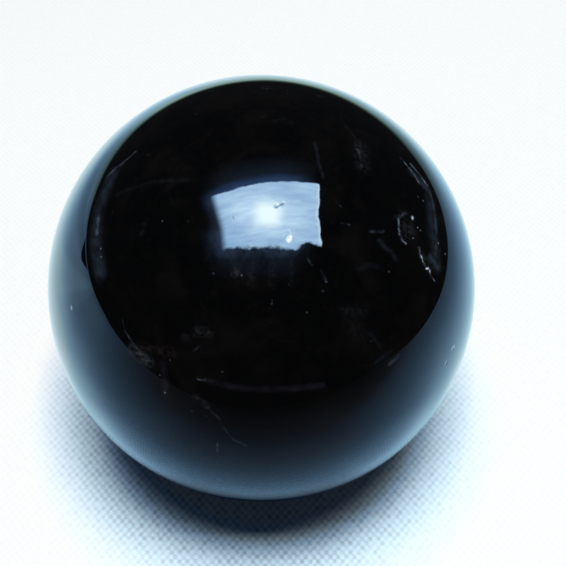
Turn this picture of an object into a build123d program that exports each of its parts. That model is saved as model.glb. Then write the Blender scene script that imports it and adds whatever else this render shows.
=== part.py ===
from build123d import *
import os

# A polished ball of dark smoky quartz, ground from one crystal and kept as one solid.
# It is the same all the way through, so it has no core, coating, seam or mark of its own on the outside.
# The frame's origin is the ball's centre, with +Z through the crown and -Z through the foot it is seated on.

sphere_diameter = 50.0  # across the polished surface

sphere_radius = sphere_diameter / 2
crown = (0, sphere_radius)
equator = (sphere_radius, 0)
foot = (0, -sphere_radius)

with BuildPart() as quartz_sphere:
    # Half of the upright section: the polished arc from foot to crown, closed along the polar axis.
    with BuildSketch(Plane.XZ):
        with BuildLine():
            ThreePointArc(foot, equator, crown)
            Line(crown, foot)
        make_face()
    # A full turn about the polar axis keeps every section through the centre a true circle.
    revolve(axis=Axis.Z)

quartz_sphere.part.label = "quartz_sphere"

os.makedirs("parts", exist_ok=True)
export_step(quartz_sphere.part, "parts/quartz_sphere.step")
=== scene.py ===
"""A polished ball of dark smoky quartz on a plain pale sheet, under one soft window-shaped light.

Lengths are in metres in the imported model's own frame: its origin is the ball's centre, +Z runs up through the
crown, and the foot that the ball stands on is straight below. Marks on the ball are placed by azimuth and
elevation in degrees, azimuth 0 facing the front (-Y) and growing towards +X.
"""

import logging
import math
from dataclasses import dataclass
from enum import Enum
from typing import Optional

import bpy
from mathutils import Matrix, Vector


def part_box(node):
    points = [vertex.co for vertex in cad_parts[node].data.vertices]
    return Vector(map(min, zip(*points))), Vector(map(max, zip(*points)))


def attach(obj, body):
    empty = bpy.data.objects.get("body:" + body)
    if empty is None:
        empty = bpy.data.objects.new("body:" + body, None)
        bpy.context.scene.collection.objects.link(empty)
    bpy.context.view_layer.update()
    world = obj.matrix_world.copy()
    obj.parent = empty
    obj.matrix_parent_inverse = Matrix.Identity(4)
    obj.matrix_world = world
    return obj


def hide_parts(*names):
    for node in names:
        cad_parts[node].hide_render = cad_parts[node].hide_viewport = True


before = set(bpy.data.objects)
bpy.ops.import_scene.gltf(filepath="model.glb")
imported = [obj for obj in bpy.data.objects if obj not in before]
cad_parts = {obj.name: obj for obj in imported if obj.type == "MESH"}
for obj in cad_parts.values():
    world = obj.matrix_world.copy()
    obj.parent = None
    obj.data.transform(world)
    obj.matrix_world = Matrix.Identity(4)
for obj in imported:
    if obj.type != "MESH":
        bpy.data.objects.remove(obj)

log = logging.getLogger("quartz_sphere")

MM = 0.001  # one millimetre in metres
RADIUS = 0.025  # the ball's radius, which the sheet, lamps and marks are laid out by
BLACK = (0.0, 0.0, 0.0, 1.0)

Piece = bpy.types.Object
Socket = bpy.types.NodeSocket


# -------- small helpers


def facing(azimuth: float, elevation: float) -> Vector:
    """Give the outward direction at a place on the ball.

    Args:
        azimuth: Degrees round the ball from the front, growing towards +X.
        elevation: Degrees above the ball's equator.

    Returns:
        A unit vector from the ball's centre.
    """
    round_by, up_by = math.radians(azimuth), math.radians(elevation)
    flat = math.cos(up_by)
    return Vector((math.sin(round_by) * flat, -math.cos(round_by) * flat, math.sin(up_by)))


def deselect_all() -> None:
    """Leave edit mode if need be and deselect every object."""
    if bpy.context.object and bpy.context.object.mode != "OBJECT":
        bpy.ops.object.mode_set(mode="OBJECT")
    bpy.ops.object.select_all(action="DESELECT")


def take_up(piece: Piece) -> None:
    """Make one object the only one selected and the active one.

    Args:
        piece: The object.
    """
    deselect_all()
    piece.select_set(True)
    bpy.context.view_layer.objects.active = piece


def lay_card(name: str, corners: tuple, height: float) -> Piece:
    """Lay a flat card.

    Args:
        name: The card's name.
        corners: Its corners in order, in ball radii.
        height: How far it lies over the ball's centre, in ball radii.

    Returns:
        The card.
    """
    deselect_all()
    bpy.ops.mesh.primitive_circle_add(vertices=len(corners), radius=RADIUS, fill_type="NGON")
    card = bpy.context.object
    card.name = card.data.name = name
    for corner, (x, y) in zip(card.data.vertices, corners):
        corner.co = (x * RADIUS, y * RADIUS, height * RADIUS)
    card.data.update()
    return card


class Bench:
    """A node tree being wired: adds nodes, sets their values and joins their sockets."""

    def __init__(self, tree: bpy.types.NodeTree) -> None:
        """Start on an empty node tree."""
        self.tree = tree
        self.tree.nodes.clear()

    def node(self, kind: str, feeds: Optional[dict] = None, **settings: object) -> bpy.types.Node:
        """Add a node.

        Args:
            kind: The node's type without its ShaderNode prefix, or a full type name.
            feeds: Values or sockets by input name or number.
            settings: The node's own options.

        Returns:
            The new node.
        """
        name = kind if kind.startswith("Node") else "ShaderNode" + kind
        made = self.tree.nodes.new(name)
        for key, value in settings.items():
            setattr(made, key, value)
        for key, value in (feeds or {}).items():
            self.feed(made.inputs[key], value)
        return made

    def feed(self, socket: Socket, value: object) -> None:
        """Join a socket to another, or set its own value.

        Args:
            socket: The input to feed.
            value: An output socket, or a plain value.
        """
        if isinstance(value, Socket):
            self.tree.links.new(value, socket)
        else:
            socket.default_value = value

    def math(self, operation: str, a: object, b: object = 0.0, c: object = 0.0) -> Socket:
        """Work out one sum of up to three values or sockets."""
        return self.node("Math", {0: a, 1: b, 2: c}, operation=operation).outputs[0]

    def times_plus(self, a: object, b: object, c: object) -> Socket:
        """Multiply a by b, and add c."""
        return self.math("MULTIPLY_ADD", a, b, c)

    def product(self, *factors: object) -> Socket:
        """Multiply several values together.

        Args:
            factors: The values or sockets.

        Returns:
            The product's socket.
        """
        result = factors[0]
        for factor in factors[1:]:
            result = self.math("MULTIPLY", result, factor)
        return result

    def vector(self, operation: str, a: object, b: object = (0, 0, 0)) -> Socket:
        """Work out one vector sum, and give its value where it has one, or else its vector."""
        made = self.node("VectorMath", {0: a, 1: b}, operation=operation)
        return made.outputs["Value" if operation in ("LENGTH", "DISTANCE", "DOT_PRODUCT") else "Vector"]

    def span(self, value: object, low: object, high: object, start: object = 0, end: object = 1) -> Socket:
        """Ease a value smoothly from one range to another.

        Args:
            value: The value or socket to read.
            low: Where it starts to change.
            high: Where it stops changing.
            start: What it gives at or before low.
            end: What it gives at or after high.

        Returns:
            The eased value's socket.
        """
        made = self.node(
            "MapRange",
            {"Value": value, "From Min": low, "From Max": high, "To Min": start, "To Max": end},
            interpolation_type="SMOOTHSTEP",
        )
        return made.outputs["Result"]

    def within(self, *stretches: tuple) -> Socket:
        """Ease in over several stretches at once, each a value, where it starts and where it is full."""
        return self.product(*(self.span(*stretch) for stretch in stretches))

    def flat(self, x: object, y: object) -> Socket:
        """Join two coordinates into a flat vector."""
        return self.node("CombineXYZ", {0: x, 1: y}).outputs[0]

    def scale(self, arrow: object, times: float) -> Socket:
        """Make a vector longer or shorter."""
        return self.node("VectorMath", {0: arrow, "Scale": times}, operation="SCALE").outputs[0]

    def mix(self, share: object, first: object, second: object, blend: str = "MIX") -> Socket:
        """Mix two colours.

        Args:
            share: How much of the second colour there is.
            first: A colour or socket.
            second: A colour or socket.
            blend: The Mix node's way of blending.

        Returns:
            The mixed colour's socket.
        """
        made = self.node("Mix", data_type="RGBA", blend_type=blend)
        for number, value in ((0, share), (6, first), (7, second)):
            self.feed(made.inputs[number], value)
        return made.outputs[2]

    def tint(self, colour: object, by: object) -> Socket:
        """Multiply a colour by another."""
        return self.mix(1.0, colour, by, "MULTIPLY")

    def glow(self, colour: object, share: object, light: object) -> Socket:
        """Add a light to a colour.

        Args:
            colour: The colour or socket before.
            share: How much of the light is added, which may be more than all of it.
            light: The colour of the light.

        Returns:
            The socket of the colour after.
        """
        lit = self.mix(share, BLACK, light)
        lit.node.clamp_factor = False
        return self.mix(1.0, colour, lit, "ADD")

    def grain(
        self, place: object, size: float, detail: float = 2.0, roughness: float = 0.5, warp: float = 0.0
    ) -> Socket:
        """Add noise, its patches about size metres apart, and give its level. Its node's Color has three."""
        feeds = {"Vector": place, "Scale": 1 / size, "Detail": detail, "Roughness": roughness}
        return self.node("TexNoise", {**feeds, "Distortion": warp}).outputs["Fac"]

    def grade(self, value: object, stops: tuple, reach: float = 1.0) -> Socket:
        """Grade a level or a colour along a value.

        Args:
            value: The value to follow.
            stops: Pairs of the value and the level or colour there.
            reach: The value at the gradient's far end.

        Returns:
            The socket of the level or colour.
        """
        made = self.node("ValToRGB", {"Fac": self.math("DIVIDE", value, reach)})
        marks = made.color_ramp.elements
        marks.remove(marks[1])
        for where, tone in stops:
            mark = marks.new(where / reach) if where else marks[0]
            mark.color = (*tone, 1.0) if isinstance(tone, tuple) else (tone, tone, tone, 1.0)
        return made.outputs["Color"]

    def polished(self) -> Socket:
        """Tell the rays that the polish mirrors, or that run through the stone, by a 1."""
        ray = self.node("LightPath").outputs
        return self.math("MAXIMUM", ray["Is Glossy Ray"], ray["Is Transmission Ray"])


def new_material(name: str) -> tuple[bpy.types.Material, Bench]:
    """Start a material.

    Args:
        name: The material's name.

    Returns:
        The material, and a bench on its empty node tree.
    """
    made = bpy.data.materials.new(name)
    made.use_nodes = True
    return made, Bench(made.node_tree)


# -------- marks in the stone


class Mark(Enum):
    """The kinds of natural mark in the quartz, by how they catch the light."""

    SPARK = "spark"  # a pale fleck on a tiny crack, its glint painted in
    CHIP = "chip"  # a pale nick in the surface
    THREAD = "thread"  # a hairline, pale and thin
    HAZE = "haze"  # a soft blue-grey band
    VEIL = "veil"  # a faint speckled cloud of bubbles
    BLOOM = "bloom"  # a soft violet-grey band
    SMUDGE = "smudge"  # a brownish patch
    PIT = "pit"  # a spot where the polish is dull


SPARK, CHIP, THREAD, HAZE, VEIL, BLOOM, SMUDGE, PIT = Mark


@dataclass(frozen=True)
class Flaw:
    """One mark, drawn as a soft line through places on the ball given by azimuth and elevation."""

    kind: Mark
    path: tuple
    width: float  # mm
    strength: float = 1.0

    def strokes(self) -> list:
        """Split the line into straight strokes, short enough to keep close to the round surface.

        Returns:
            Where each stroke starts and how far it runs, as vectors.
        """
        longest = math.radians(9 if self.width < 1 else 18)
        places = [facing(*place) for place in self.path]
        found = []
        for first, last in zip(places, places[1:]):
            turn = first.angle(last)
            parts = math.ceil(turn / longest)
            # Half of each stroke's bulge is added, so that it lies as far over the surface as under it.
            seat = RADIUS * (1 + (1 - math.cos(turn / parts / 2)) / 2)
            steps = [first.slerp(last, part / parts) * seat for part in range(parts + 1)]
            found += [(start, end - start) for start, end in zip(steps, steps[1:])]
        return found or [(places[0] * RADIUS, Vector())]


def flecks(*spots: tuple) -> list[tuple]:
    """Give rows for flecks with painted glints from their azimuths, elevations, widths in mm and strengths."""
    return [(SPARK, (tuple(place),), width, strength) for *place, width, strength in spots]


FLAWS = tuple(Flaw(*row) for row in (
    # Upper right shoulder: two tapering streaks with haze between, then long soft arcs.
    (THREAD, ((96, 53.5), (91, 50), (87.5, 48)), 0.45, 1.35),
    (THREAD, ((95.5, 50), (92.5, 47.5), (90, 44.8)), 0.6, 1.5),
    (HAZE, ((91, 50), (88, 45)), 1.8, 0.9),
    (HAZE, ((88, 44), (79, 41.6), (74.5, 40.4), (67, 37.6)), 0.75, 1.5),
    (HAZE, ((84, 44), (72, 41), (65, 36)), 2.6, 0.6),
    *flecks(
        (71.3, 38.3, 0.35, 0.25), (70.8, 34.9, 0.35, 0.35), (80.5, 46.4, 0.3, 0.17), (80.6, 48.2, 0.3, 0.11),
    ),
    # Ring-shaped bruise below them.
    (THREAD, ((69.3, 50.6), (65, 51.7)), 0.6, 0.35),
    (VEIL, ((69.5, 50.3), (65, 52)), 1.3, 0.8),
    (THREAD, ((64.8, 51.6), (61.6, 50.4), (59.9, 48.9)), 0.4, 1.2),
    (THREAD, ((60.2, 49.2), (59.2, 48.1), (59.4, 46.8)), 0.5, 2.1),
    (VEIL, ((64.4, 48),), 3.2, 1.4),
    (SMUDGE, ((68.5, 52.4),), 1, 0.3),
    *flecks(
        (70, 48.4, 0.6, 1), (68.5, 46, 0.25, 0.7), (68.3, 45, 0.22, 0.5), (63.4, 45.8, 0.25, 0.35),
        (59.6, 46.8, 0.25, 0.3), (62.5, 43.4, 0.28, 0.17),
    ),
    # Jagged open crack under the bruise.
    (THREAD, ((63, 43), (61.5, 42), (60.7, 40.3), (60.4, 39.2)), 0.4, 0.9),
    (THREAD, ((60.4, 39.2), (60.3, 38.3), (61.2, 37.8), (60.9, 37), (60.4, 36), (60.4, 34.2)), 0.35, 1.5),
    (SPARK, ((61.4, 41.4), (60.7, 40.3)), 0.32, 0.6),
    (SPARK, ((60.4, 38.5), (61.2, 37.8), (60.9, 37.1)), 0.38),
    (VEIL, ((61.5, 41), (61.5, 37)), 1.5, 1.1),
    (HAZE, ((64.4, 38.7), (64.8, 35.5)), 1.6),
    (HAZE, ((51.4, 52.1), (51.2, 49.8), (51.8, 48.9), (52.2, 46.4)), 0.9, 0.35),
    (THREAD, ((50.4, 55.2), (55.1, 53)), 0.55, 0.25),
    *flecks((46.9, 45.3, 0.35, 0.14)),
    # Flecks with painted glints low on the right.
    (SPARK, ((57.7, 13.3), (59, 13.6)), 0.5),
    (SPARK, ((53.8, 11.3), (54.9, 12.1)), 0.26),
    (HAZE, ((53, 9.5), (57, 14)), 1.6, 0.7),
    (HAZE, ((32, 28.4), (37, 28.8)), 1, 0.18),
    (HAZE, ((35.8, 25.9), (38.6, 26.3)), 0.8, 1.1),
    *flecks(
        (59, 12.6, 0.36, 1), (62.7, 12.9, 0.26, 0.5), (64.5, 8.6, 0.22, 0.7), (52.2, 12, 0.24, 0.8),
    ),
    # Crown: a bright two-part mark, hairlines and small clouds.
    (THREAD, ((117, 67.8), (107, 67.6), (98, 66.2)), 0.4, 0.06),
    (THREAD, ((93.5, 66.7), (90, 66.5), (87, 66)), 0.55, 0.25),
    (THREAD, ((85, 65.8), (78, 64.8)), 0.45, 0.2),
    (VEIL, ((93, 65.5), (78, 64.5)), 2.6, 0.8),
    (HAZE, ((83, 76.8), (64, 74.7), (52.4, 71.1)), 0.6, 0.28),
    (VEIL, ((175, 69.5),), 1.8, 2.2),
    (VEIL, ((142, 65.2),), 1.6, 0.9),
    (VEIL, ((165, 84.3), (121.5, 81.4)), 1.8, 0.25),
    (CHIP, ((14.6, 61.6), (15.8, 62)), 0.65),
    (SPARK, ((16.6, 62.6), (16.4, 63.8)), 0.25, 0.36),
    (PIT, ((11.6, 69.6), (17.4, 70.1)), 0.28, 0.55),
    (PIT, ((-13.8, 66.9), (-13.2, 66.4)), 0.28, 0.35),
    (THREAD, ((46.6, 65.1), (47.2, 63.7)), 0.4, 0.2),
    (THREAD, ((41.8, 60.6), (44.1, 59.3)), 0.4, 0.3),
    # Upper left: fine streaks, a broad soft band down the side and a long faint arc.
    (THREAD, ((-94.5, 59.2), (-91.5, 56)), 0.4, 0.6),
    (HAZE, ((-90.8, 55.5), (-88.5, 51)), 0.9, 1.2),
    (THREAD, ((-90.6, 55.2), (-88.8, 51.5)), 0.45, 0.4),
    (HAZE, ((-87.5, 52.5), (-80, 49.5), (-73.5, 46.5), (-66, 43.5), (-56, 40)), 2.8, 0.75),
    (HAZE, ((-72.3, 46.6), (-67.6, 44.7)), 1, 3),
    (SMUDGE, ((-69, 51),), 0.7, 0.9),
    (THREAD, ((-75.2, 53.4), (-71.8, 59.5), (-65, 65.5), (-54, 70)), 0.8, 0.035),
    (VEIL, ((-53.5, 57), (-51, 54)), 1, 0.35),
    *flecks((-61.4, 43.8, 0.35, 0.22), (-59.3, 42.7, 0.28, 0.32), (-46.8, 59.5, 0.28, 0.13)),
    # Lower left: flecks, veils and a long hairline.
    (THREAD, ((-41, 35.3), (-38.8, 33.2), (-32, 30.6)), 0.35, 0.45),
    (VEIL, ((-34.8, 30.3), (-29.6, 29.4)), 1.8, 3.4),
    (SMUDGE, ((-32, 32.3), (-23.5, 34)), 1.8, 0.7),
    (BLOOM, ((-25.3, 30.6), (-23.6, 25.9), (-23.7, 23.6)), 1.1, 0.8),
    (VEIL, ((-17.5, 40.4), (-14.3, 41)), 1.6),
    (THREAD, ((-17.7, 35.9), (-16.5, 37.2)), 0.4, 0.1),
    (BLOOM, ((-20.7, 38.6),), 1.2, 0.6),
    (THREAD, ((-15.3, 29.6), (-13.2, 29.9)), 0.4, 0.45),
    (BLOOM, ((-13, 29.8), (-9, 29.2), (-4.9, 28.9), (1.2, 28.8), (8.2, 28.3), (16.5, 27.8)), 1.15, 0.8),
    (VEIL, ((-15.1, 25), (-12.4, 22.9)), 1.3, 0.7),
    (SMUDGE, ((-15.1, 25), (-12.4, 22.9)), 1.1, 0.4),
    (THREAD, ((-12.2, 22.6), (-9.4, 20.3), (-7.9, 17), (-5.7, 14.1), (-2.4, 12.4)), 0.42, 0.2),
    (THREAD, ((-9.7, 12.1), (-9.7, 9.3)), 0.38, 0.45),
    *flecks(
        (-60.5, 25.5, 0.7, 1), (-23.6, 32.2, 0.28, 0.17), (-23.7, 23.6, 0.28, 0.25),
        (-9.2, 32.5, 0.34, 0.05), (-16.1, 20.8, 0.28, 0.09), (-12.6, 20, 0.28, 0.08),
    ),
    # Clouds and flecks in the middle.
    (VEIL, ((-8.3, 55),), 1.4, 2.1),
    (VEIL, ((-1.9, 57.4), (-1.7, 52.6)), 1.2, 0.6),
    (VEIL, ((6, 57), (5.4, 52.3)), 1.2, 0.4),
    (VEIL, ((13.6, 56.7), (12, 51.8)), 1, 0.3),
    (THREAD, ((20.5, 56.3), (21.4, 55)), 0.4, 0.2),
    (THREAD, ((24.1, 53.3), (24.6, 51.9), (24.4, 50.5)), 0.42, 0.2),
    (VEIL, ((27.5, 43.1), (33, 41.3)), 2, 0.4),
    (VEIL, ((27.9, 40.2), (30.3, 34.8)), 2.4, 0.25),
    (HAZE, ((32.6, 35.5), (34.4, 31.6)), 0.8, 0.12),
    (HAZE, ((37.3, 50), (41.2, 49.4), (44.4, 47.8)), 0.9, 0.12),
    *flecks(
        (-5.9, 54.4, 0.34, 0.14), (-16, 53.8, 0.34, 0.15), (24.4, 50.4, 0.34, 0.08),
        (22.5, 48.8, 0.34, 0.05), (5, 48.4, 0.34, 0.07),
    ),
    # Round the back: the same sort of streak, cloud and healed crack.
    (HAZE, ((150, 20), (165, 34), (182, 40)), 2.6, 0.6),
    (THREAD, ((158, -4), (166, 9), (170, 24), (183, 33)), 0.4, 0.6),
    (VEIL, ((203, 8), (216, 20)), 3.4, 1.2),
    (SMUDGE, ((228, -12), (236, -3)), 2.2, 0.8),
    (BLOOM, ((118, -18), (131, -9), (140, -12)), 1.1, 1.2),
    (THREAD, ((104, 6), (112, 14), (115, 24)), 0.38, 0.5),
    *flecks((212, 17, 0.32, 0.6)),
))


@dataclass(frozen=True)
class SmokyQuartz:
    """The stone's finish: near-black polished quartz with veils, hairlines and flecks."""

    name: str = "smoky_quartz"
    depth: tuple = (0.0006, 0.0007, 0.0008, 1.0)  # the dark body of the stone
    cloud: tuple = (0.0024, 0.0022, 0.0021, 1.0)  # brownish-grey mottling under the polish
    index: float = 1.544  # quartz
    polish: float = 0.02  # roughness
    dull: float = 0.6  # the roughness that a pit adds
    relief: float = 0.02  # mm, how deep a pit looks
    stray: float = 0.40  # mm that marks wander off their lines
    spark: tuple = (0.52, 0.62, 0.74, 1.0)  # a pale fleck with a painted glint; from here on, the colour of each kind of mark
    chip: tuple = (0.80, 0.74, 0.62, 1.0)
    thread: tuple = (0.085, 0.110, 0.140, 1.0)
    haze: tuple = (0.018, 0.027, 0.038, 1.0)
    veil: tuple = (0.0085, 0.0095, 0.0105, 1.0)
    bloom: tuple = (0.0085, 0.0070, 0.0110, 1.0)
    smudge: tuple = (0.0120, 0.0080, 0.0065, 1.0)
    dust: tuple = (0.035, 0.037, 0.040, 1.0)

    def stroke_group(self) -> bpy.types.NodeTree:
        """Build the node group that draws one soft stroke.

        Returns:
            A group that takes the mask so far, the place and the stroke's start, run, width and strength, and
            gives their joint mask. Share is the run over the square of its length, or nothing for a dot.
        """
        group = bpy.data.node_groups.new("stroke in the stone", "ShaderNodeTree")
        inputs = {"Float": ("Before", "Half Width", "Strength"), "Vector": ("Place", "Start", "Run", "Share")}
        for kind, labels in inputs.items():
            for label in labels:
                group.interface.new_socket(label, in_out="INPUT", socket_type="NodeSocket" + kind)
        group.interface.new_socket("Mask", in_out="OUTPUT", socket_type="NodeSocketFloat")
        bench = Bench(group)
        given = bench.node("NodeGroupInput").outputs
        # A vanishing share of the mask so far goes into the place, so that strokes are worked out one by one.
        hold = {0: given["Before"], 1: (1e-9, 1e-9, 1e-9), 2: given["Place"]}
        waited = bench.node("VectorMath", hold, operation="MULTIPLY_ADD").outputs[0]
        out = bench.vector("SUBTRACT", waited, given["Start"])
        along = bench.node("Clamp", {"Value": bench.vector("DOT_PRODUCT", out, given["Share"])}).outputs[0]
        nearest = bench.vector("MULTIPLY", given["Run"], along)
        far = bench.vector("DISTANCE", out, nearest)
        mask = bench.span(far, 0.0, given["Half Width"], given["Strength"], 0.0)
        bench.node("NodeGroupOutput", {"Mask": bench.math("MAXIMUM", given["Before"], mask)})
        return group

    def masks(self, bench: Bench, place: object, flaws: tuple) -> dict:
        """Draw every mark, strongest on top.

        Args:
            bench: The tree being wired.
            place: The coordinates the marks are laid on.
            flaws: The marks.

        Returns:
            A mask's socket for each kind of mark.
        """
        stroke = self.stroke_group()
        found = {}
        for flaw in flaws:
            for start, run in flaw.strokes():
                settings = {
                    "Before": found.get(flaw.kind, 0.0),
                    "Place": place,
                    "Start": start,
                    "Run": run,
                    "Share": run / max(run.length_squared, 1e-12),
                    "Half Width": flaw.width * MM / 2,
                    "Strength": flaw.strength,
                }
                found[flaw.kind] = bench.node("Group", settings, node_tree=stroke).outputs["Mask"]
        return found

    def body(self, bench: Bench, place: object) -> Socket:
        """Wire the colour of the stone between its marks: dark, with mottling, hairlines and dust.

        Args:
            bench: The tree being wired.
            place: The piece's own coordinates.

        Returns:
            The colour's socket.
        """
        broad = bench.span(bench.grain(place, 4.5 * MM, 4.0, 0.6, 0.6), 0.42, 0.72)
        close = bench.span(bench.grain(place, 1.1 * MM, 3.0, 0.65, 0.8), 0.48, 0.78)
        mottled = bench.times_plus(close, 0.7, broad)
        colour = bench.mix(mottled, self.depth, self.cloud)

        # Hairlines: the borders between warped cells, only here and there.
        warp = bench.scale(bench.grain(place, 3.0 * MM).node.outputs["Color"], 2.5 * MM)
        bent = bench.vector("ADD", place, warp)
        cracks = bench.node("TexVoronoi", {"Vector": bent, "Scale": 1 / (7 * MM)}, feature="DISTANCE_TO_EDGE")
        healed = bench.span(cracks.outputs["Distance"], 0.022, 0.004)
        patchy = bench.span(bench.grain(place, 6.0 * MM, 3.0), 0.52, 0.68, 0.0, 0.10)
        colour = bench.glow(colour, bench.product(healed, patchy), self.veil)

        # Dust: a speck in one small cell out of a few.
        cells = bench.node("TexVoronoi", {"Vector": place, "Scale": 1 / (1.6 * MM)})
        speck = bench.span(cells.outputs["Distance"], 0.075, 0.035)
        pick = bench.node("SeparateColor", {0: cells.outputs["Color"]}).outputs[0]
        return bench.glow(colour, bench.product(speck, bench.span(pick, 0.72, 1.0)), self.dust)

    def material(self, flaws: tuple) -> bpy.types.Material:
        """Build the stone's material.

        Args:
            flaws: The marks to draw in it.

        Returns:
            The material.
        """
        made, bench = new_material(self.name)
        place = bench.node("TexCoord").outputs["Object"]

        # Every listed mark wanders a little off its line, as a healed crack does.
        noise = bench.grain(place, 1.3 * MM, 3.0, 0.6).node.outputs["Color"]
        wander = bench.scale(bench.vector("SUBTRACT", noise, (0.5, 0.5, 0.5)), self.stray * MM)
        masks = self.masks(bench, bench.vector("ADD", place, wander), flaws)

        flow = bench.grain(place, 1.0 * MM, 3.0, 0.6)
        fine = bench.grain(place, 0.45 * MM, 2.0, 0.6)
        soft = bench.span(flow, 0.3, 0.65, 0.30, 1.0)
        speckled = bench.span(fine, 0.40, 0.62, 0.1, 1.0)
        broken = bench.within((flow, 0.36, 0.60, 0.12, 1.0), (fine, 0.34, 0.60, 0.25, 1.0))
        crisp = bench.span(fine, 0.35, 0.55, 0.3, 1.0)
        # Each kind of mark has its own gaps, and the colour it adds, a painted glint for sparks, is the field
        # of its name.
        breaks = {HAZE: soft, BLOOM: soft, VEIL: speckled, SMUDGE: speckled, THREAD: broken}
        breaks |= {SPARK: crisp, CHIP: crisp}
        colour = self.body(bench, place)
        for kind, gaps in breaks.items():
            colour = bench.glow(colour, bench.product(masks[kind], gaps), getattr(self, kind.value))

        # The polish is dull in a pit, and a little so in a chip.
        pits = bench.times_plus(masks[CHIP], 0.25, masks[PIT])
        wear = bench.span(bench.grain(place, 2.5 * MM, 4.0, 0.6), 0.35, 0.75, 0.0, 0.015)
        roughness = bench.times_plus(pits, self.dull, bench.math("ADD", wear, self.polish))
        height = bench.math("MAXIMUM", pits, bench.product(masks[SPARK], 0.5))
        sunk = bench.product(height, -1.0)
        bump = bench.node("Bump", {"Height": sunk, "Distance": self.relief * MM})
        shader = bench.node(
            "BsdfPrincipled",
            {
                "Base Color": colour,
                "Roughness": roughness,
                "IOR": self.index,
                "Coat Weight": bench.math("SUBTRACT", 1.0, pits),
                "Coat IOR": self.index,
                "Coat Roughness": self.polish,
                "Normal": bump.outputs[0],
            },
        )
        bench.node("OutputMaterial", {"Surface": shader.outputs[0]})
        return made


# -------- the ball


@dataclass(frozen=True)
class Nick:
    """One tiny hollow in the polish, at an azimuth and elevation."""

    place: tuple[float, float]
    radius: float  # mm
    depth: float  # share of the deepest nick


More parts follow.
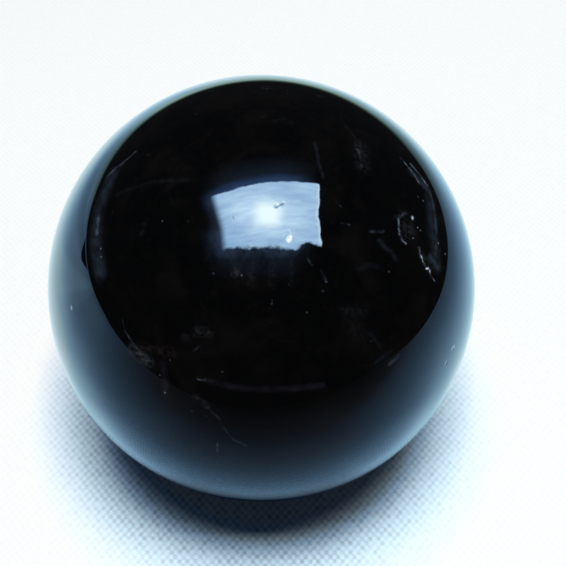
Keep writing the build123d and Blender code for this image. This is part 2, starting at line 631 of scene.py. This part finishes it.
@dataclass
class QuartzBall:
    """The ball itself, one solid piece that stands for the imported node."""

    node: str = "quartz_sphere"
    name: str = "quartz_ball"
    first_cuts: int = 2  # cuts across each face of the block
    halvings: int = 5  # how often each face is halved after that
    nick_cuts: int = 3  # further cuts across each face on and round a nick
    nick_border: float = 0.4  # mm round a nick that is cut as finely
    wave: float = 0.010  # mm, how far the polish rolls from its lowest to its highest
    wave_size: float = 7.0  # mm between rolls
    deepest: float = 0.04  # mm
    nicks: tuple = tuple(Nick(*row) for row in (
        ((15, 61.8), 0.5, 0.4), ((12.5, 69.7), 0.3, 0.6), ((16.5, 70), 0.3, 0.6), ((70, 48.4), 0.35, 0.8),
        ((64.8, 51.6), 0.5, 0.5), ((61.6, 50.4), 0.45, 0.6), ((59.9, 48.9), 0.45, 0.8),
        ((59.2, 47.6), 0.45, 0.8), ((59.6, 46.6), 0.4, 0.6), ((61.4, 41.8), 0.4, 0.7),
        ((60.7, 40.3), 0.4, 0.9), ((60.4, 38.6), 0.4, 1.0), ((61.1, 37.6), 0.4, 0.9),
        ((60.5, 36), 0.35, 0.7), ((58.3, 13.4), 0.35, 0.8), ((54.4, 11.7), 0.35, 0.8),
        ((-60.5, 25.5), 0.35, 0.8),
    ))

    def lay_uv(self, ball: Piece) -> None:
        """Lay the block's six faces side by side on a map of their own, three by two.

        Args:
            ball: The block, before it is cut.
        """
        layer = ball.data.uv_layers[0]
        layer.name = "OFBake"
        margin = 0.01
        corners = ((0, 0), (1, 0), (1, 1), (0, 1))
        for face in ball.data.polygons:
            column, row = face.index % 3, face.index // 3
            for loop, (across, up) in zip(face.loop_indices, corners):
                u = (column + margin + across * (1 - 2 * margin)) / 3
                v = (row + margin + up * (1 - 2 * margin)) / 2
                layer.data[loop].uv = (u, v)

    def select_nicked(self, ball: Piece) -> None:
        """Select the faces on and round the nicks.

        Args:
            ball: The ball, in object mode.
        """
        places = [(facing(*nick.place), (nick.radius + self.nick_border) * MM) for nick in self.nicks]
        for face in ball.data.polygons:
            out = face.center.normalized()
            face.select = any((out - place).length * RADIUS < reach for place, reach in places)

    def rough_out(self) -> Piece:
        """Cut a block into even quads, finer round the nicks, and round it to the ball's size.

        Returns:
            The rounded ball.
        """
        low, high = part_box(self.node)
        across = high[0] - low[0]
        deselect_all()
        bpy.ops.mesh.primitive_cube_add(size=across / math.sqrt(3), location=(0, 0, 0))
        ball = bpy.context.object
        ball.name = ball.data.name = self.name
        self.lay_uv(ball)
        bpy.ops.object.mode_set(mode="EDIT")
        bpy.ops.mesh.select_mode(type="FACE")
        bpy.ops.mesh.select_all(action="SELECT")
        bpy.ops.mesh.subdivide(number_cuts=self.first_cuts)
        for _ in range(self.halvings):
            bpy.ops.transform.tosphere(value=1.0)
            bpy.ops.mesh.subdivide(number_cuts=1)
        bpy.ops.mesh.select_all(action="DESELECT")
        bpy.ops.object.mode_set(mode="OBJECT")
        self.select_nicked(ball)
        bpy.ops.object.mode_set(mode="EDIT")
        bpy.ops.mesh.subdivide(number_cuts=self.nick_cuts)
        bpy.ops.mesh.select_all(action="SELECT")
        bpy.ops.transform.tosphere(value=1.0)
        bpy.ops.object.mode_set(mode="OBJECT")
        grow = across / 2 / ball.data.vertices[0].co.length
        bpy.ops.object.mode_set(mode="EDIT")
        bpy.ops.transform.resize(value=(grow, grow, grow), center_override=(0, 0, 0))
        bpy.ops.object.mode_set(mode="OBJECT")
        return ball

    def wear_in(self, ball: Piece) -> None:
        """Give the ball the slight roll of hand polishing, and its nicks.

        Args:
            ball: The rounded ball.
        """
        clouds = bpy.data.textures.new("roll of the polish", "CLOUDS")
        clouds.noise_scale = self.wave_size * MM
        take_up(ball)
        roll = ball.modifiers.new("polish", "DISPLACE")
        roll.texture = clouds
        roll.texture_coords = "LOCAL"
        roll.strength = self.wave * MM
        bpy.ops.object.modifier_apply(modifier="polish")

        group = ball.vertex_groups.new(name="nicks")
        places = [(facing(*nick.place), nick) for nick in self.nicks]
        for vertex in ball.data.vertices:
            out = vertex.co.normalized()
            weight = 0.0
            for place, nick in places:
                near = 1 - (out - place).length * RADIUS / (nick.radius * MM)
                if near > 0:
                    weight = max(weight, nick.depth * near * near * (3 - 2 * near))
            if weight > 0:
                group.add([vertex.index], weight, "REPLACE")
        hollow = ball.modifiers.new("nicks", "DISPLACE")
        hollow.vertex_group = group.name
        hollow.mid_level = 0.0
        hollow.strength = -self.deepest * MM
        bpy.ops.object.modifier_apply(modifier="nicks")
        ball.vertex_groups.clear()

    def make(self) -> Piece:
        """Build the finished ball.

        Returns:
            The finished piece.
        """
        ball = self.rough_out()
        self.wear_in(ball)
        take_up(ball)
        bpy.ops.object.shade_smooth()
        ball.data.materials.append(SmokyQuartz().material(FLAWS))
        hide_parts(self.node)
        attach(ball, "root")
        return ball


# -------- the sheet


@dataclass
class PaleSheet:
    """The pale woven sheet that the ball stands on, with lengths in ball radii unless they say otherwise."""

    name: str = "pale_sheet"
    outline: tuple = (
        (5.2, 7.8), (4.5, 8.6), (2.5, 9.4), (0, 9.8), (-2, 10.6), (-4.5, 11.8), (-8, 13),
        (-14, 16), (-20, 15), (-24, 8), (-24, -4), (-16, -7), (-6, -8),
        (0, -8), (6, -8), (9.5, -7), (8.3, -4.3), (7.3, -0.9), (6.5, 1.5), (5.9, 3.7), (5.4, 5.8),
    )
    painted_shadow: tuple = (  # the sheet's colour by the distance from the foot, with a painted shadow round it
        (0, (0.66, 0.55, 0.4)), (0.71, (0.66, 0.55, 0.4)), (0.77, (0.5, 0.55, 0.5)),
        (0.82, (0.46, 0.6, 0.63)), (0.87, (0.49, 0.71, 0.89)), (0.95, (0.66, 0.88, 1)),
        (1.05, (0.7, 0.9, 1)), (1.15, (0.77, 0.89, 0.98)), (1.32, (0.835, 0.845, 0.805)),
    )
    dark: tuple = (0.012, 0.012, 0.014, 1.0)  # a dark thing mirrored at the sheet's left end
    hazy: tuple = (0.59, 0.763, 0.76, 1.0)  # the mirrored sheet at its far edge
    under: tuple = (0.86, 0.74, 0.66, 1.0)  # a painted shade on the mirrored sheet right under the ball
    mirrored: tuple = (0.64, 0.763, 0.81, 1.0)  # the colour painted for the sheet as the polish mirrors it, where the painted daylight is full
    warp: float = 0.51  # mm between threads
    weft: float = 0.60  # mm between threads
    far: float = 16.0  # the length that a gradient covers
    left_side: tuple = (  # the painted daylight by the distance to the left
        (0, 1), (1.75, 1), (2.3, 0.98), (2.6, 0.9), (3, 0.8), (3.6, 0.68), (4.5, 0.59),
        (6, 0.56), (8.5, 0.59), (12, 0.6),
    )
    right_side: tuple = (  # and to the right
        (0, 1), (1.3, 1), (1.65, 0.93), (2, 0.84), (2.3, 0.75), (2.6, 0.67), (3, 0.58),
        (3.6, 0.47), (4.5, 0.34), (6, 0.25), (8, 0.23),
    )
    front_near: tuple = (  # the painted daylight by the distance to the front, right in front of the ball, where it paints a shadow
        (0, 1), (0.1, 0.95), (0.3, 0.84), (0.5, 0.7), (0.7, 0.57), (0.87, 0.46), (1, 0.42),
        (1.12, 0.385), (1.3, 0.34), (1.65, 0.23), (2, 0.165), (2.6, 0.098), (3.2, 0.067),
        (3.9, 0.045), (6, 0.022),
    )
    front_far: tuple = (  # and to the sides of that
        (0, 1), (0.1, 0.95), (0.25, 0.88), (0.43, 0.8), (0.6, 0.68), (0.78, 0.55), (0.97, 0.445),
        (1.2, 0.345), (1.43, 0.275), (1.74, 0.21), (2.13, 0.15), (2.6, 0.098), (3.2, 0.065),
        (3.9, 0.045), (6, 0.02),
    )
    patches: tuple = (  # by what share the painted daylight changes, and what bounds the place
        (-0.18, ("aside", 0.7, 1.6), ("y", 3, 4.6), ("y", 7, 5.8)),
        (-0.4, ("x", 1.2, 3.2), ("y", -2, -4)),
        (-0.12, ("x", -1.8, -2.5), ("y", 0.4, -0.1)),
        (0.18, ("x", -2.4, -3.3), ("y", 0.4, 0.8), ("y", 2, 1.4)),
        (0.17, ("aside", 0.5, 0.8), ("aside", 1.8, 1.3), ("y", -0.3, -0.6), ("y", -1.6, -1.1)),
    )
    painted_far_falloff: tuple = (  # a painted falloff that darkens the mirrored sheet towards its far edge
        (0, (1, 1, 1)), (3.2, (1, 1, 1)), (3.7, (0.99, 1, 1)), (4.3, (0.93, 0.97, 0.95)),
        (5, (0.83, 0.91, 0.87)), (5.8, (0.72, 0.84, 0.77)), (6.5, (0.66, 0.78, 0.68)),
        (6.8, (0.6, 0.71, 0.6)), (7.2, (0.44, 0.52, 0.43)), (7.6, (0.32, 0.38, 0.3)),
        (8, (0.21, 0.25, 0.18)), (8.5, (0.12, 0.14, 0.1)), (9.2, (0.045, 0.05, 0.04)),
    )
    painted_daylight_tones: tuple = (  # the colour painted on the mirrored sheet by the level of painted daylight
        (0, (0, 0, 0)), (0.02, (0.022, 0.02, 0.02)), (0.04, (0.042, 0.04, 0.048)),
        (0.07, (0.06, 0.07, 0.088)), (0.13, (0.098, 0.13, 0.184)), (0.2, (0.136, 0.2, 0.285)),
        (0.3, (0.19, 0.3, 0.435)), (0.4, (0.25, 0.4, 0.57)), (0.5, (0.325, 0.5, 0.69)),
        (0.6, (0.41, 0.6, 0.8)), (0.7, (0.48, 0.7, 0.895)), (0.78, (0.55, 0.78, 0.945)),
        (0.87, (0.65, 0.87, 0.97)), (0.95, (0.78, 0.96, 1)), (1, (0.92, 1, 1)),
    )

    def make(self) -> Piece:
        """Lay the sheet.

        Returns:
            The sheet.
        """
        sheet = lay_card(self.name, self.outline, -1.0)
        if sheet.data.polygons[0].normal.z < 0:
            sheet.data.flip_normals()
        sheet.data.materials.append(self.material())
        return sheet

    def painted_daylight(self, bench: Bench, x: object, y: object) -> Socket:
        """Wire the level of painted daylight, full round the ball and falling off to the sides and the front.

        Args:
            bench: The tree being wired.
            x: Across the sheet.
            y: Along the sheet, away from the front.

        Returns:
            The level's socket, from 0 to 1.
        """
        aside = bench.math("ABSOLUTE", x)
        # The light reaches a little further out to the sides towards the back.
        side = bench.times_plus(bench.math("MAXIMUM", y, 0.0), -0.1, aside)
        sides = bench.mix(
            bench.span(x, -1.0, 1.0),
            bench.grade(side, self.left_side, self.far),
            bench.grade(side, self.right_side, self.far),
        )
        # It reaches further to the front away from the ball, and more so on the left.
        nearer = bench.product(y, -1.0)
        past = bench.math("MAXIMUM", bench.math("SUBTRACT", aside, 1.0), 0.0)
        shared = bench.math("DIVIDE", nearer, bench.times_plus(past, 0.15, 1.0))
        shared = bench.product(shared, bench.times_plus(bench.math("MAXIMUM", x, -12.0), 0.03, 1.0))
        front = bench.mix(
            bench.span(aside, 0.7, 1.3),
            bench.grade(nearer, self.front_near, self.far),
            bench.grade(shared, self.front_far, self.far),
        )
        # Where both fall off, the darker of the two counts most.
        both = bench.math("ADD", bench.math("POWER", sides, -2.0), bench.math("POWER", front, -2.0))
        level = bench.math("INVERSE_SQRT", bench.math("SUBTRACT", both, 1.0))
        axes = {"x": x, "y": y, "aside": aside}
        for change, *stretches in self.patches:
            patch = bench.within(*((axes[axis], low, high) for axis, low, high in stretches))
            level = bench.product(level, bench.times_plus(patch, change, 1.0))
        return level

    def weave(self, bench: Bench, axes: object) -> Socket:
        """Wire a plain weave, whose threads pass over and under in a staggered row.

        Args:
            bench: The tree being wired.
            axes: The sheet's coordinates in metres, split.

        Returns:
            A value that is 0 on the raised threads and 1 in the gaps between them.
        """
        across = bench.math("SINE", bench.product(axes[0], math.pi / (self.warp * MM)))
        along = bench.math("SINE", bench.product(axes[1], math.pi / (self.weft * MM)))
        lobes = bench.product(across, bench.math("ABSOLUTE", across), along)
        return bench.span(lobes, 0.7, -0.6)

    def dusky(self, bench: Bench, x: object, y: object, level: object) -> Socket:
        """Wire the sheet's painted colour as the polish mirrors it: bluer and darker as the painted daylight
        falls off.

        Args:
            bench: The tree being wired.
            x: Across the sheet.
            y: Along the sheet, away from the front.
            level: The level of daylight.

        Returns:
            The colour's socket.
        """
        # The far edge of the sheet runs slantwise, and a painted falloff darkens it as if it sank away from the
        # light.
        slant = bench.times_plus(bench.math("MINIMUM", x, 0.0), 0.42, y)
        slant = bench.times_plus(bench.span(x, 0.0, 2.6), 0.75, slant)
        slant = bench.times_plus(bench.within((x, -3.2, -1.8), (x, 0.1, -0.7)), -0.3, slant)
        # Towards that edge it loses its blue.
        colour = bench.tint(bench.grade(level, self.painted_daylight_tones), self.mirrored)
        colour = bench.mix(bench.span(slant, 3.0, 6.0, 0.0, 0.55), colour, bench.tint(level, self.hazy))
        # Right under the ball a painted shade makes it darker still.
        aside = bench.math("ABSOLUTE", x)
        under = bench.within((y, -1.15, -0.8), (y, 0.0, -0.3), (aside, 0.8, 0.3))
        colour = bench.mix(under, colour, bench.tint(colour, self.under))
        # Something dark lies on it far out to the left.
        lean = bench.math("ADD", bench.math("DIVIDE", y, bench.math("MINIMUM", x, -1.0)), 0.285)
        nearer = bench.times_plus(bench.product(lean, lean), 700.0, x)
        blot = bench.within((nearer, -11.4, -12.2), (x, -21.6, -20.0))
        colour = bench.mix(blot, colour, self.dark)
        return bench.tint(colour, bench.grade(slant, self.painted_far_falloff, self.far))

    def material(self) -> bpy.types.Material:
        """Build the sheet's material: pale to the camera with a painted shadow, graded in the polish by painted
        daylight.

        Returns:
            The material.
        """
        made, bench = new_material(self.name)
        place = bench.node("TexCoord").outputs["Object"]
        metres = bench.node("SeparateXYZ", {0: place}).outputs
        x = bench.math("DIVIDE", metres[0], RADIUS)
        y = bench.math("DIVIDE", metres[1], RADIUS)
        foot = bench.vector("LENGTH", bench.flat(x, y))
        level = self.painted_daylight(bench, x, y)
        polished = bench.polished()
        # To the camera the sheet is pale but for a painted shadow: brownish close round the foot, blue at its
        # edge.
        seen_with_painted_shadow = bench.grade(foot, self.painted_shadow, 2.0)
        colour = bench.mix(polished, seen_with_painted_shadow, self.dusky(bench, x, y, level))

        # The weave's gaps are drawn darker close under the ball and where the painted daylight fades in the
        # polish, which paints extra shade there.
        dim = bench.product(polished, bench.span(level, 0.8, 0.4))
        close = bench.math("MAXIMUM", bench.span(foot, 1.35, 0.85), dim)
        depth = bench.times_plus(close, bench.span(x, 0.2, 1.2, 0.30, 0.19), 0.035)
        uneven = bench.span(bench.grain(place, 0.8 * MM), 0.3, 0.7, 0.5, 1.4)
        shade = bench.product(depth, uneven, self.weave(bench, metres))
        colour = bench.tint(colour, bench.math("SUBTRACT", 1.0, shade))
        shader = bench.node("BsdfDiffuse", {"Color": colour})
        bench.node("OutputMaterial", {"Surface": shader.outputs[0]})
        return made


# -------- light and camera


@dataclass
class Window:
    """The daylight window that shows in the polish. Its lengths are in ball radii.

    Its light comes from one card overhead. U runs along +X on the card and V along +Y.
    """

    name: str = "window"
    height: float = 11.0  # above the ball's centre
    corners: tuple = ((-9, -9), (10, -9), (10, 8.5), (-9, 8.5))
    top: tuple = (0.19, 2.62)  # how the top edge climbs along U, and its V in the middle
    right: tuple = (0.28, 5.5)  # how the right edge leans out below the middle, and its U above that
    left: tuple = (-0.22, -3.9, -3.5)  # how the left edge leans, its U in the middle, and its furthest U
    foot: tuple = (3.2, 4.6, -3.9, -3.2)  # the U where the lower edge starts and ends its step, and its V
    sun_at: tuple = (0.68, -0.55)
    middle: tuple = (5.7, 7.9, 10.0, 1.0)  # the bright oval in the pane
    outer: tuple = (3.6, 5.6, 7.9, 1.0)  # the pane round it
    shade: tuple = (2.9, 5.0, 7.5, 1.0)  # its lower left corner
    sun: tuple = (9.0, 10.9, 11.2, 1.0)
    glow: tuple = (0.11, 0.30, 0.85, 1.0)  # along the top of the pane
    haze: tuple = (0.060, 0.110, 0.200, 1.0)  # wider, over and under it
    wisp: tuple = (0.14, 0.26, 0.50, 1.0)  # beside it and close under it

    def edges(self, bench: Bench, u: object, v: object, ripple: object, ragged: object) -> tuple:
        """Measure how far a point lies inside each edge of the pane.

        Args:
            bench: The tree being wired.
            u: Across the card.
            v: Along the card.
            ripple: A small waver for the crisp edges.
            ragged: A larger one for the foot of the window.

        Returns:
            Distances from the top, right, bottom and left edges.
        """
        top = bench.math("SUBTRACT", bench.times_plus(u, *self.top), v)
        below = bench.math("MAXIMUM", bench.product(v, -1.0), 0.0)
        right = bench.math("SUBTRACT", bench.times_plus(below, *self.right), u)
        bottom = bench.math("SUBTRACT", v, bench.span(u, *self.foot))
        lean, at_middle, furthest = self.left
        slope = bench.math("MINIMUM", bench.times_plus(v, lean, at_middle), furthest)
        left = bench.math("SUBTRACT", u, slope)
        return (
            bench.math("ADD", top, bench.product(ripple, 0.8)),
            bench.math("ADD", right, ripple),
            bench.math("ADD", bottom, ragged),
            left,
        )

    def pane(self, bench: Bench, u: object, v: object, right: object) -> Socket:
        """Wire the light inside the pane: brighter in the middle, a soft sun and long faint streaks.

        Args:
            bench: The tree being wired.
            u: Across the card.
            v: Along the card.
            right: Distance inside the right edge.

        Returns:
            The light's colour.
        """
        # An oval that leans a little is the brightest part.
        across = bench.math("DIVIDE", bench.math("SUBTRACT", u, 0.3), 4.2)
        along = bench.math("DIVIDE", bench.math("ADD", v, bench.times_plus(u, 0.12, 0.5)), 2.4)
        bright = bench.span(bench.vector("LENGTH", bench.flat(across, along)), 1.25, 0.15)
        colour = bench.mix(bright, self.outer, self.middle)
        low_left = bench.span(bench.times_plus(v, 0.5, u), -1.6, -5.0)
        colour = bench.mix(low_left, colour, self.shade)

        # Streaks run along it, fainter in the blue.
        over = bench.times_plus(u, -0.25, bench.product(v, 1.5))
        long_way = bench.flat(bench.product(u, 0.35), over)
        streak = bench.span(bench.grain(long_way, 1.0, 4.0, 0.6), 0.3, 0.7, 0.84, 1.12)
        streaks = bench.node("CombineColor", {0: streak, 1: streak, 2: bench.times_plus(streak, 0.6, 0.4)})
        colour = bench.tint(colour, streaks.outputs[0])

        # The sun is a square with round corners, and the right edge catches a little of it.
        off = bench.vector("ABSOLUTE", bench.vector("SUBTRACT", bench.flat(u, v), (*self.sun_at, 0)))
        sides = bench.node("SeparateXYZ", {0: off}).outputs
        far = bench.math("ADD", bench.vector("LENGTH", off), bench.math("MAXIMUM", sides[0], sides[1]))
        colour = bench.mix(bench.span(far, 3.5, 0.8), colour, self.sun)
        rim = bench.within((right, 0.0, 0.15), (right, 0.45, 0.15))
        return bench.mix(bench.product(rim, 0.3), colour, self.sun)

    def around(self, bench: Bench, u: object, v: object, edges: tuple) -> Socket:
        """Wire the faint light round the pane: a blue glow above, a soft left edge and wisps below.

        Args:
            bench: The tree being wired.
            u: Across the card.
            v: Along the card.
            edges: Distances from the top, right, bottom and left edges.

        Returns:
            The light's colour.
        """
        top, _, bottom, left = edges
        aside = bench.math("ABSOLUTE", bench.math("ADD", u, 0.2))
        over = bench.within((aside, 5.8, 1.8), (v, 0.0, 1.5))
        colour = bench.mix(bench.product(bench.span(top, -1.1, 0.0), over), BLACK, self.glow)
        colour = bench.glow(colour, bench.product(bench.span(top, -3.8, -0.2), over), self.haze)
        beside = bench.within((left, -1.4, 0.3), (left, 1.5, 0.3), (v, -4.2, -3.0), (v, 2.6, 0.8))
        colour = bench.glow(colour, beside, self.wisp)

        hanging = bench.flat(u, bench.product(v, 0.55))
        drift = bench.span(bench.grain(hanging, 1.0, 4.0, 0.65), 0.3, 0.74)
        under = bench.within((aside, 6.0, 2.8), (v, -1.0, -2.5))
        near = bench.product(bench.span(bottom, -1.3, 0.0), bench.times_plus(drift, 0.7, 0.3), under)
        colour = bench.glow(colour, near, self.wisp)
        low = bench.product(bench.span(bottom, -4.2, -0.4), bench.times_plus(drift, 0.6, 0.4), under)
        return bench.glow(colour, low, self.haze)

    def material(self, room: tuple) -> bpy.types.Material:
        """Build the card's light.

        Args:
            room: The dim light of the room round the window.

        Returns:
            The material.
        """
        made, bench = new_material("window light")
        scaled = bench.scale(bench.node("TexCoord").outputs["Object"], 1 / RADIUS)
        axes = bench.node("SeparateXYZ", {0: scaled}).outputs
        u, v = axes[0], axes[1]
        ripple = bench.times_plus(bench.grain(scaled, 1.1), 0.5, -0.25)
        ragged = bench.times_plus(bench.grain(scaled, 1.4, 4.0, 0.65), 1.3, -0.65)
        edges = self.edges(bench, u, v, ripple, ragged)
        top, right, bottom, left = edges
        inside = bench.within((top, 0.0, 0.2), (right, 0.0, 0.15), (bottom, -0.1, 0.3), (left, -0.35, 0.55))
        light = bench.mix(inside, self.around(bench, u, v, edges), self.pane(bench, u, v, right))
        light = bench.mix(1.0, light, room, "ADD")
        shader = bench.node("Emission", {"Color": light})
        bench.node("OutputMaterial", {"Surface": shader.outputs[0]})
        return made

    def make(self, room: tuple) -> Piece:
        """Hang the card.

        Args:
            room: The dim light of the room round the window.

        Returns:
            The card.
        """
        card = lay_card(self.name, self.corners, self.height)
        card.data.materials.append(self.material(room))
        card.visible_diffuse = False
        card.visible_shadow = False
        return card


@dataclass
class Studio:
    """The lamp, the window, the room and the camera."""

    room: tuple = (0.026, 0.050, 0.115, 1.0)  # its bluish light on the sheet and the ball
    mirrored: tuple = (0.0095, 0.0100, 0.0115, 1.0)  # how it shows in the polish
    backdrop: tuple = (0.78, 0.80, 0.82, 1.0)  # how it shows behind the ball
    lens: float = 62.8  # mm
    tilt: float = 51.45  # degrees that the camera looks down
    eye: tuple = (0.0992, -2.9292, 3.7143)  # in ball radii
    lamp_at: tuple = (0.043, -0.107, 1.0)
    lamp_size: tuple = (0.41, 0.30)
    lamp_level: float = 33.0

    def set_camera(self) -> None:
        """Stand the camera in front of the ball, looking steeply down."""
        data = bpy.data.cameras.new("camera")
        data.lens = self.lens
        data.sensor_width = 36.0
        data.clip_start = 0.005
        data.clip_end = 10.0
        camera = bpy.data.objects.new("camera", data)
        bpy.context.scene.collection.objects.link(camera)
        camera.location = Vector(self.eye) * RADIUS
        camera.rotation_euler = (math.radians(90 - self.tilt), 0.0, 0.0)
        bpy.context.scene.camera = camera

    def hang_lamp(self) -> None:
        """Hang the soft lamp that lights the ball and the sheet, and isn't mirrored in the stone."""
        data = bpy.data.lights.new("key lamp", "AREA")
        data.shape = "RECTANGLE"
        data.size, data.size_y = self.lamp_size
        data.energy = self.lamp_level * math.pi * data.size * data.size_y
        lamp = bpy.data.objects.new("key lamp", data)
        bpy.context.scene.collection.objects.link(lamp)
        lamp.location = self.lamp_at
        lamp.visible_glossy = False

    def light_room(self) -> None:
        """Fill the rest of the room with a little even light, dim in the polish and pale behind the ball."""
        world = bpy.data.worlds.new("room")
        bpy.context.scene.world = world
        world.use_nodes = True
        bench = Bench(world.node_tree)
        light = bench.mix(bench.polished(), self.room, self.mirrored)
        light = bench.mix(bench.node("LightPath").outputs["Is Camera Ray"], light, self.backdrop)
        shader = bench.node("Background", {"Color": light})
        bench.node("OutputWorld", {"Surface": shader.outputs[0]})

    def make(self) -> None:
        """Set up the camera and all the light."""
        bpy.context.scene.view_settings.view_transform = "Standard"
        self.set_camera()
        self.hang_lamp()
        self.light_room()
        Window().make(self.mirrored)


def main() -> None:
    """Build the studio, the sheet and the ball, and report each."""
    logging.basicConfig(level=logging.INFO, format="%(name)s: %(message)s")
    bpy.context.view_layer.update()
    Studio().make()
    log.info("studio set")
    sheet = PaleSheet().make()
    log.info("%s laid", sheet.name)
    ball = QuartzBall().make()
    log.info("%s made, %d faces", ball.name, len(ball.data.polygons))


if __name__ == "__main__":
    main()
